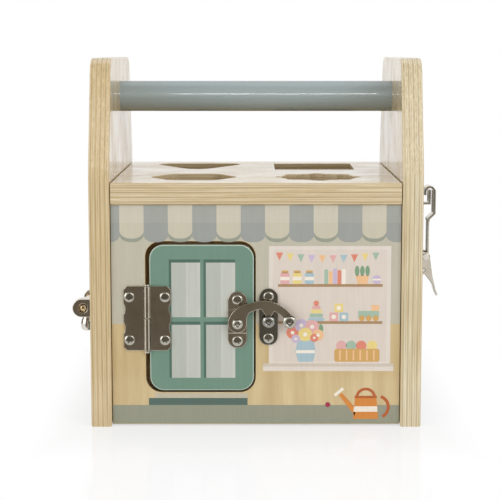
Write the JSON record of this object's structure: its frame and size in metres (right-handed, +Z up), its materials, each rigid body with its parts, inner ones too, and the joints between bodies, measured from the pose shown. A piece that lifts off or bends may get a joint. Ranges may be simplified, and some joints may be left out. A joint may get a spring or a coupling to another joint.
{
  "type": "wooden activity cube",
  "caption": "Wooden carrier box with locked doors on every side, shaped sorting holes in its top plate and a round carrying bar between tall side panels.",
  "frame": {"origin": "under the middle of the box, on the underside of the bottom plate", "axes": "+X to the right as seen from the front, +Y from front to back, +Z up"},
  "size_m": [0.2214, 0.1724, 0.211],
  "materials": {
    "birch_ply": "satin",
    "painted_wood": "semi-gloss",
    "green_wood": "satin",
    "nickel_steel": "polished"
  },
  "bodies": {
    "carcass": {"left_side_panel": "birch_ply", "right_side_panel": "birch_ply", "top_plate": "birch_ply", "front_panel": "birch_ply", "back_panel": "birch_ply", "bottom_plate": "birch_ply", "handle_bar": "painted_wood", "panel_dowels": "birch_ply", "front_hinge_frame_leaf": "nickel_steel", "front_hinge_pin": "nickel_steel", "front_frame_screws": "nickel_steel", "front_catch_plate": "nickel_steel", "front_catch_post": "nickel_steel", "left_hinge_frame_leaf": "nickel_steel", "left_hinge_pin": "nickel_steel", "left_frame_screws": "nickel_steel", "left_bolt_keeper": "nickel_steel", "right_hinge_frame_leaf": "nickel_steel", "right_hinge_pin": "nickel_steel", "right_frame_screws": "nickel_steel", "right_toggle_keeper": "nickel_steel", "back_hinge_frame_leaf": "nickel_steel", "back_hinge_pin": "nickel_steel", "back_frame_screws": "nickel_steel", "back_hook_post": "nickel_steel"},
    "front_door": {"front_door_slab": "green_wood", "front_hinge_door_leaf": "nickel_steel", "front_door_screws": "nickel_steel", "front_latch_base": "nickel_steel", "front_latch_rivet": "nickel_steel"},
    "front_latch": {"front_latch_arm": "nickel_steel", "front_latch_button": "nickel_steel"},
    "left_door": {"left_door_slab": "green_wood", "left_hinge_door_leaf": "nickel_steel", "left_door_screws": "nickel_steel", "left_bolt_base": "nickel_steel"},
    "left_bolt": {"left_bolt_rod": "nickel_steel", "left_bolt_knob": "nickel_steel"},
    "right_door": {"right_door_slab": "green_wood", "right_hinge_door_leaf": "nickel_steel", "right_door_screws": "nickel_steel", "right_toggle_base": "nickel_steel", "right_toggle_rivets": "nickel_steel"},
    "toggle_lever": {"right_toggle_lever": "nickel_steel", "right_toggle_pin": "nickel_steel"},
    "toggle_claw": {"right_toggle_claw": "nickel_steel"},
    "back_door": {"back_door_slab": "green_wood", "back_hinge_door_leaf": "nickel_steel", "back_door_screws": "nickel_steel", "back_hook_pivot": "nickel_steel"},
    "back_hook": {"back_hook_arm": "nickel_steel"}
  },
  "joints": [
    {"name": "front_door_swing", "type": "hinge", "parent": "carcass", "child": "front_door", "pos_m": [-0.0623, -0.0826, 0.0632], "axis": [0, 0, -1], "range_deg": [0, 110]},
    {"name": "front_latch_swing", "type": "hinge", "parent": "front_door", "child": "front_latch", "pos_m": [-0.0106, -0.08425, 0.0606], "axis": [0, -1, 0], "range_deg": [0, 100]},
    {"name": "left_door_swing", "type": "hinge", "parent": "carcass", "child": "left_door", "pos_m": [-0.0966, 0.0451, 0.0632], "axis": [0, 0, -1], "range_deg": [0, 110]},
    {"name": "left_bolt_slide", "type": "slide", "parent": "left_door", "child": "left_bolt", "axis": [0, 1, 0], "range_m": [0, 0.014]},
    {"name": "right_door_swing", "type": "hinge", "parent": "carcass", "child": "right_door", "pos_m": [0.0966, 0, 0.0209], "axis": [0, 1, 0], "range_deg": [0, 80]},
    {"name": "toggle_lever_swing", "type": "hinge", "parent": "right_door", "child": "toggle_lever", "pos_m": [0.105, 0, 0.0885], "axis": [0, -1, 0], "range_deg": [0, 90]},
    {"name": "toggle_claw_swing", "type": "hinge", "parent": "toggle_lever", "child": "toggle_claw", "pos_m": [0.1038, 0, 0.08], "axis": [0, -1, 0], "range_deg": [-78, 0]},
    {"name": "back_door_swing", "type": "hinge", "parent": "carcass", "child": "back_door", "pos_m": [0.0306, 0.0826, 0.0632], "axis": [0, 0, -1], "range_deg": [0, 110]},
    {"name": "back_hook_swing", "type": "hinge", "parent": "back_door", "child": "back_hook", "pos_m": [-0.018, 0.08315, 0.064], "axis": [0, 1, 0], "range_deg": [0, 100]}
  ],
  "couplings": [
    {"joint": "toggle_claw_swing", "follows": "toggle_lever_swing", "ratio": -0.86}
  ]
}
